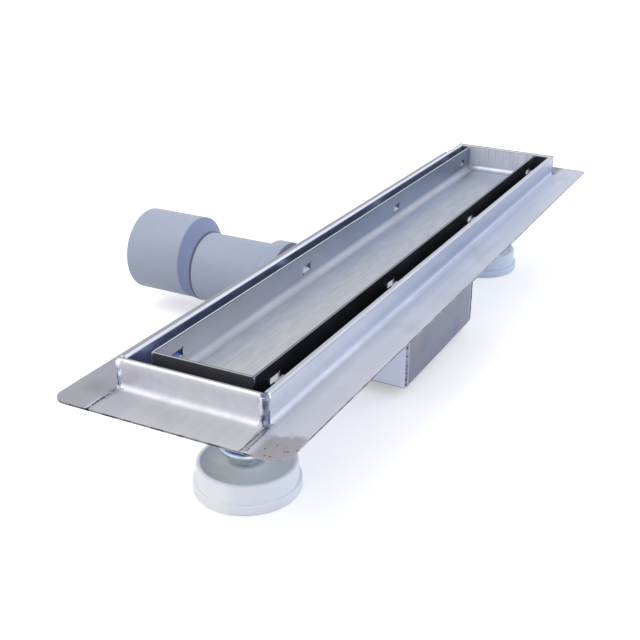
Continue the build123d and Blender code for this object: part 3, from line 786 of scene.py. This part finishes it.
def outlet_adaptor():
    """Grey adaptor: ring-seal bead, barrel and eccentric large end, moulded in one."""
    large = (OUTLET_HIGH.x - OUTLET_LOW.x) / 2
    bead = 29.2 * MM
    barrel = 25.5 * MM
    bore = 22.4 * MM
    large_bore = 27.7 * MM
    axis_z = OUTLET_LOW.z + bead
    large_lift = OUTLET_HIGH.z - large - axis_z
    start = OUTLET_LOW.y
    end = OUTLET_HIGH.y - start
    shoulder = end - LARGE_LENGTH
    cone = end - CONE_LENGTH
    bead_edge = 0.8 * MM
    large_edge = 0.7 * MM
    slope = 3 * MM
    bead_long = 14.5 * MM
    inner_shoulder = shoulder + 2.6 * MM
    profile = [(bore, 0)]
    profile += arc((bead - bead_edge, bead_edge), bead_edge, -90, 0, 6)
    profile += arc((bead - bead_edge, bead_long - slope - bead_edge), bead_edge, 0, 45, 4)
    profile += [(barrel + 0.4 * MM, bead_long - 0.3 * MM), (barrel, bead_long + 0.3 * MM)]
    profile += [(barrel, cone - 0.3 * MM), (barrel + 0.2 * MM, cone + 0.3 * MM)]
    profile += arc((large - large_edge, shoulder + large_edge), large_edge, -35, 0, 5)
    profile += arc((large - large_edge, end - large_edge), large_edge, 0, 90, 6)
    profile += [(large_bore + 0.8 * MM, end), (large_bore, end - 1.2 * MM)]
    profile += [(large_bore, inner_shoulder), (bore, inner_shoulder)]
    bm = spin_profile(bmesh.new(), profile, (0, 0, 0), 160)
    # The large end is lifted off the barrel's axis
    raised = [v for v in bm.verts
              if v.co.z > shoulder - 0.01 * MM and math.hypot(v.co.x, v.co.y) > barrel + MM]
    bmesh.ops.translate(bm, verts=raised, vec=(0, large_lift, 0))
    lay_down = Matrix(((1, 0, 0, 0), (0, 0, 1, start), (0, 1, 0, axis_z), (0, 0, 0, 1)))
    bmesh.ops.transform(bm, verts=bm.verts, matrix=lay_down)
    finish_piece(bm, "outlet_moulding", "channel", "grey_plastic", ["outlet_adaptor"])


def ringed_rod(segments, rings):
    """A rod of radius 1 and length 1, cut into rings to be shaped."""
    bm = bmesh.new()
    bmesh.ops.create_cone(bm, cap_ends=True, segments=segments, radius1=1, radius2=1, depth=1)
    upright = [e for e in bm.edges if abs(e.verts[0].co.z - e.verts[1].co.z) > 0.5]
    bmesh.ops.subdivide_edges(bm, edges=upright, cuts=rings)
    return bm


def weld_bead(name, start, end, out, half_width, proud, finish="weld_steel", ripple=0.9 * MM, seed=0.0):
    """A rippled weld bead from start to end, standing proud along out, its lower half in the metal."""
    start, end, out = Vector(start), Vector(end), Vector(out).normalized()
    along = end - start
    length = along.length
    bm = ringed_rod(20, max(int(length / (0.25 * MM)), 8))
    across = along.normalized().cross(out)
    for vert in bm.verts:
        share = min(max(vert.co.z + 0.5, 0.0), 1.0)
        away = share * length
        taper = min(1.0, math.sqrt(max(2 * share * (1 - share) * length / half_width, 0.0)) + 0.15)
        wander = noise.noise(Vector((away / (2.2 * MM), seed, 1.7)))
        width = half_width * taper * (1 + 0.22 * wander)
        wave = 0.5 + 0.5 * math.cos(FULL_TURN * (away + 0.5 * half_width * vert.co.x ** 2) / ripple)
        lump = noise.noise(Vector((away / (1.3 * MM), seed, 9.1)))
        tall = proud * taper * (0.82 + 0.25 * wave + 0.35 * lump)
        drift = 0.18 * half_width * noise.noise(Vector((away / (3.5 * MM), seed, 4.3)))
        vert.co = start + along * share + across * (vert.co.x * width + drift) + out * vert.co.y * tall
    finish_piece(bm, name, "channel", finish)


def weld_ring(name, centre, axis, radius, half_width, proud, seed):
    """A rippled fillet weld round a tube."""
    profile = [(radius + half_width * math.cos(t), proud * math.sin(t))
               for t in [FULL_TURN * i / 12 for i in range(12)]]
    bm = spin_profile(bmesh.new(), profile, (0, 0, 0), 144)
    for vert in bm.verts:
        angle = math.atan2(vert.co.y, vert.co.x)
        wave = 1 + 0.10 * math.cos(angle * radius / (0.16 * MM)) + 0.25 * noise.noise(
            Vector((math.cos(angle) * 4, math.sin(angle) * 4, seed)))
        away = math.hypot(vert.co.x, vert.co.y)
        pushed = radius + (away - radius) * wave
        vert.co.x *= pushed / away
        vert.co.y *= pushed / away
        vert.co.z *= wave
    turn = Vector((0, 0, 1)).rotation_difference(Vector(axis)).to_matrix().to_4x4()
    bmesh.ops.transform(bm, verts=bm.verts, matrix=Matrix.Translation(centre) @ turn)
    finish_piece(bm, name, "channel", "weld_steel")


def blob(name, centre, reach, seed):
    """A lump of weld metal where seams meet."""
    bm = bmesh.new()
    bmesh.ops.create_icosphere(bm, subdivisions=4, radius=1)
    for vert in bm.verts:
        lump = 1 + 0.22 * noise.noise(vert.co * 1.6 + Vector((seed, 0, 0)))
        offset = Vector([part * size for part, size in zip(vert.co, reach)])
        vert.co = Vector(centre) + offset * lump
    finish_piece(bm, name, "channel", "weld_steel")


def corner_column(name, x_side, y_side, foot_radius, top_radius, seed):
    """Round run of weld that closes one corner of the rim, flared at its top."""
    inset = 1.4 * MM
    low = FLANGE_TOP - 0.5 * MM
    high = RIM_TOP + 0.1 * MM
    bm = ringed_rod(48, 60)
    for vert in bm.verts:
        share = vert.co.z + 0.5
        flare = foot_radius + (top_radius - foot_radius) * share ** 3 + 0.5 * MM * (1 - share) ** 6
        crown = math.sqrt(max(1 - (max(share - 0.90, 0) / 0.10) ** 2, 0.02))
        lump = 1 + 0.13 * noise.noise(Vector((vert.co.x * 1.3, vert.co.y * 1.3, share * 4 + seed)))
        radius = flare * crown * lump
        sway = 0.35 * MM * noise.noise(Vector((seed, share * 3.5, 2.0)))
        vert.co.x = x_side * (RIM_X - inset) + vert.co.x * radius + sway
        vert.co.y = y_side * (RIM_Y - inset) + vert.co.y * radius + sway * y_side
        vert.co.z = low + (high - low) * share
    finish_piece(bm, name, "channel", "weld_steel")


# Radii at the foot and the top of the rim's corner runs, in millimetres
CORNER_RADII = {
    "front_left": (1.9, 2.3),
    "front_right": (2.5, 3.7),
    "rear_left": (1.3, 1.5),
    "rear_right": (1.3, 1.5),
}

# Lumps of weld at a front corner: place past the rim's corner and reach, in millimetres, and a seed's step
CORNER_LUMPS = (
    ("top_blob", "a", (-1.0, -3.6), RIM_TOP - 0.9 * MM, (1.1, 1.5, 0.9), 9),
    ("top_blob", "b", (-3.6, -1.0), RIM_TOP - 0.9 * MM, (1.5, 1.1, 0.9), 3),
    ("foot_blob", "a", (0.3, -3.0), FLANGE_TOP + 0.9 * MM, (1.2, 1.6, 1.2), 0),
    ("foot_blob", "b", (-2.4, 0.5), FLANGE_TOP + 0.9 * MM, (1.7, 1.2, 1.2), 5),
)


def rim_corner_welds():
    """Upright runs at the rim's four corners, with lumps of weld at top and foot."""
    for end, x_side in ENDS:
        for side, y_side in SIDES:
            corner = f"{end}_{side}"
            seed = 3.0 * x_side + 7.0 * y_side
            foot_radius, top_radius = [radius * MM for radius in CORNER_RADII[corner]]
            corner_column(f"rim_weld_{corner}", x_side, y_side, foot_radius, top_radius, seed)
            if end == "rear":
                continue
            for kind, letter, (past_x, past_y), height, reach, step in CORNER_LUMPS:
                centre = (x_side * (RIM_X + past_x * MM), y_side * (RIM_Y + past_y * MM), height)
                blob(f"{kind}_{corner}_{letter}", centre, [size * MM for size in reach], seed + step)


def flange_seam_welds():
    """Seams where the end flanges meet the side flanges."""
    for end, x_side in ENDS:
        for side, y_side in SIDES:
            seed = 11.0 * x_side + 5.0 * y_side
            y = y_side * (RIM_Y + 0.1 * MM)
            half_width = (0.7 if side == "left" else 0.4) * MM
            weld_bead(f"flange_seam_{end}_{side}", (x_side * RIM_X, y, FLANGE_TOP),
                      (x_side * (FLANGE_X - 0.3 * MM), y, FLANGE_TOP), (0, 0, 1),
                      half_width, 0.08 * MM, "scorched_steel", ripple=4 * MM, seed=seed)


def ground_strips():
    """Flat dressed strips beside the right-hand flange seams, wider towards the edge."""
    for end, x_side in ENDS:
        bm = bmesh.new()
        bmesh.ops.create_cube(bm, size=1)
        lengthwise = [e for e in bm.edges if abs(e.verts[0].co.x - e.verts[1].co.x) > 0.5]
        bmesh.ops.subdivide_edges(bm, edges=lengthwise, cuts=60)
        length = FLANGE_X - RIM_X - 1.0 * MM
        for vert in bm.verts:
            share = vert.co.x + 0.5
            width = 1.5 * MM + 0.9 * MM * math.sin(math.pi * min(share * 1.3, 1)) + 1.3 * MM * share
            wander = 0.35 * MM * noise.noise(Vector((share * 14, x_side, 2.2)))
            outer = vert.co.y < 0
            y = -RIM_Y - (width + wander if outer else 0.2 * MM)
            proud = (0.03 if outer else 0.07) * MM
            z = FLANGE_TOP + (proud if vert.co.z > 0 else -0.2 * MM)
            vert.co = Vector((x_side * (RIM_X + share * length), y, z))
        finish_piece(bm, f"ground_strip_{end}", "channel", "ground_steel")
        weld_bead(f"ground_border_{end}", (x_side * RIM_X, -RIM_Y - 1.6 * MM, FLANGE_TOP),
                  (x_side * (FLANGE_X - 1.5 * MM), -RIM_Y - 3.0 * MM, FLANGE_TOP),
                  (0, 0, 1), 0.3 * MM, 0.05 * MM, "scorched_steel", ripple=5 * MM, seed=4.0 * x_side)


def tray_corner_welds():
    """Thin beads that close the tray's upright corners."""
    for end, x_side in ENDS:
        for side, y_side in SIDES:
            x = x_side * (TRAY_X - 0.25 * MM)
            y = y_side * (TRAY_Y - 0.25 * MM)
            low, high = TRAY_LOW.z + 3.5 * MM, TRAY_HIGH.z - 0.3 * MM
            weld_bead(f"tray_weld_{end}_{side}", (x, y, low), (x, y, high), (x_side, y_side, 0),
                      0.75 * MM, 0.5 * MM, ripple=0.7 * MM, seed=2 * x_side + y_side)


def box_welds():
    """Seams at the siphon box's upright corners and round the outlet stub."""
    for end, x_side in ENDS:
        for side, y_side in SIDES:
            x = x_side * (BOX_HIGH.x - 0.15 * MM)
            y = y_side * (BOX_HIGH.y - 0.15 * MM)
            low, high = BOX_LOW.z + 2.2 * MM, CHANNEL_LOW.z - 0.2 * MM
            weld_bead(f"box_weld_{end}_{side}", (x, y, low), (x, y, high), (x_side, y_side, 0),
                      0.75 * MM, 0.3 * MM, "scorched_steel", seed=x_side * 6 + y_side)
        x = x_side * BOX_HIGH.x
        weld_bead(f"box_end_seam_{end}", (x, -BOX_HIGH.y, CHANNEL_LOW.z), (x, BOX_HIGH.y, CHANNEL_LOW.z),
                  (x_side, 0, -0.6), 1.1 * MM, 0.7 * MM, seed=x_side * 4)
    for side, y_side in SIDES:
        y, z = y_side * BOX_HIGH.y, CHANNEL_LOW.z + 0.3 * MM
        weld_bead(f"box_side_seam_{side}", (BOX_LOW.x, y, z), (BOX_HIGH.x, y, z), (0, y_side, -0.6),
                  1.2 * MM, 0.7 * MM, seed=y_side * 5)
    stub_low, stub_high, stub_middle = corners("outlet_stub")
    stub_radius = (stub_high.x - stub_low.x) / 2
    weld_ring("stub_weld", (0, BOX_HIGH.y, stub_middle.z), (0, 1, 0),
              stub_radius + 0.5 * MM, 1.6 * MM, 1.1 * MM, seed=2)


def sleeve_welds():
    """Fillet welds round the threaded sleeves under the channel."""
    for end in ("front", "rear"):
        low, high, middle = corners(f"leg_sleeve_{end}")
        radius = (high.x - low.x) / 2
        weld_ring(f"sleeve_weld_{end}", (middle.x, 0, high.z), (0, 0, 1),
                  radius + 0.4 * MM, 1.5 * MM, 1.2 * MM, seed=middle.x * 30)


for foot_end in ("front", "rear"):
    foot_pad(foot_end)
    stud(foot_end)
    hex_nut(f"foot_nut_{foot_end}", f"pad_nut_{foot_end}", f"{foot_end}_leg", math.radians(12))
    washer(f"foot_washer_{foot_end}", f"wide_washer_{foot_end}", f"{foot_end}_leg")
    hex_nut(f"lock_nut_{foot_end}", f"jam_nut_{foot_end}", f"{foot_end}_leg", math.radians(38))
outlet_adaptor()
rim_corner_welds()
flange_seam_welds()
ground_strips()
tray_corner_welds()
box_welds()
sleeve_welds()


def background_switch(tree, seen, unseen):
    """Show one shader to camera, glossy and transmission rays and another to the rest."""
    path = tree.nodes.new("ShaderNodeLightPath")
    shown = tree.nodes.new("ShaderNodeMath")
    shown.operation = "MAXIMUM"
    either = tree.nodes.new("ShaderNodeMath")
    either.operation = "MAXIMUM"
    mix = tree.nodes.new("ShaderNodeMixShader")
    tree.links.new(path.outputs["Is Camera Ray"], either.inputs[0])
    tree.links.new(path.outputs["Is Glossy Ray"], either.inputs[1])
    tree.links.new(either.outputs[0], shown.inputs[0])
    tree.links.new(path.outputs["Is Transmission Ray"], shown.inputs[1])
    tree.links.new(shown.outputs[0], mix.inputs[0])
    tree.links.new(unseen, mix.inputs[1])
    tree.links.new(seen, mix.inputs[2])
    return mix.outputs[0]


def studio_world():
    """White surroundings, with a softer cool level for the light that they give."""
    world = bpy.data.worlds.new("studio")
    bpy.context.scene.world = world
    world.use_nodes = True
    tree = world.node_tree
    tree.nodes.clear()
    white = tree.nodes.new("ShaderNodeBackground")
    white.inputs["Color"].default_value = (1, 1, 1, 1)
    fill = tree.nodes.new("ShaderNodeBackground")
    fill.inputs["Color"].default_value = FILL_COLOUR
    fill.inputs["Strength"].default_value = FILL_LEVEL
    out = tree.nodes.new("ShaderNodeOutputWorld")
    tree.links.new(background_switch(tree, white.outputs[0], fill.outputs[0]), out.inputs["Surface"])


def studio_floor():
    """Pale floor under the feet, white to the eye where no shadow falls on it."""
    bm = bmesh.new()
    bmesh.ops.create_grid(bm, x_segments=1, y_segments=1, size=6)
    bmesh.ops.translate(bm, verts=bm.verts, vec=(0, 0, PAD_LOW.z - 0.1 * MM))
    mesh = bpy.data.meshes.new("studio_floor")
    bm.to_mesh(mesh)
    bm.free()
    floor = bpy.data.objects.new("studio_floor", mesh)
    bpy.context.scene.collection.objects.link(floor)
    material = bpy.data.materials.new("pale_floor")
    material.use_nodes = True
    tree = material.node_tree
    tree.nodes.clear()
    matt = tree.nodes.new("ShaderNodeBsdfDiffuse")
    matt.inputs["Color"].default_value = FLOOR_COLOUR
    glow = tree.nodes.new("ShaderNodeEmission")
    glow.inputs["Strength"].default_value = FLOOR_GLOW
    lit = tree.nodes.new("ShaderNodeAddShader")
    tree.links.new(matt.outputs[0], lit.inputs[0])
    tree.links.new(glow.outputs[0], lit.inputs[1])
    dull = tree.nodes.new("ShaderNodeBsdfDiffuse")
    dull.inputs["Color"].default_value = FLOOR_BOUNCE
    out = tree.nodes.new("ShaderNodeOutputMaterial")
    tree.links.new(background_switch(tree, lit.outputs[0], dull.outputs[0]), out.inputs["Surface"])
    mesh.materials.append(material)


def area_light(name, place, size, power, colour):
    """A rectangular lamp aimed at the middle of the tray."""
    lamp = bpy.data.lights.new(name, "AREA")
    lamp.shape = "RECTANGLE"
    lamp.size, lamp.size_y = size
    lamp.energy = power
    lamp.color = colour
    light = bpy.data.objects.new(name, lamp)
    light.location = place
    light.rotation_mode = "QUATERNION"
    light.rotation_quaternion = (-Vector(place)).to_track_quat("-Z", "Y")
    bpy.context.scene.collection.objects.link(light)


def studio_camera():
    """The photograph's camera."""
    lens = bpy.data.cameras.new("photo_camera")
    lens.lens = CAMERA_LENS
    lens.sensor_width = 36
    lens.shift_x, lens.shift_y = CAMERA_SHIFT
    lens.clip_start = 0.01
    camera = bpy.data.objects.new("photo_camera", lens)
    camera.location = CAMERA_PLACE
    camera.rotation_mode = "QUATERNION"
    aim = (CAMERA_TARGET - CAMERA_PLACE).to_track_quat("-Z", "Y")
    camera.rotation_quaternion = aim @ Quaternion((0, 0, 1), CAMERA_ROLL)
    bpy.context.scene.collection.objects.link(camera)
    bpy.context.scene.camera = camera


studio_world()
studio_floor()
area_light("overhead", place=(-0.9, 0.5, 1.7), size=(1.4, 1.4), power=12.0, colour=(1.0, 0.985, 0.96))
area_light("blue_side", place=(1.5, -1.1, 0.75), size=(1.3, 0.9), power=5.5, colour=(0.74, 0.85, 1.0))
studio_camera()
bpy.context.scene.view_settings.view_transform = "Standard"
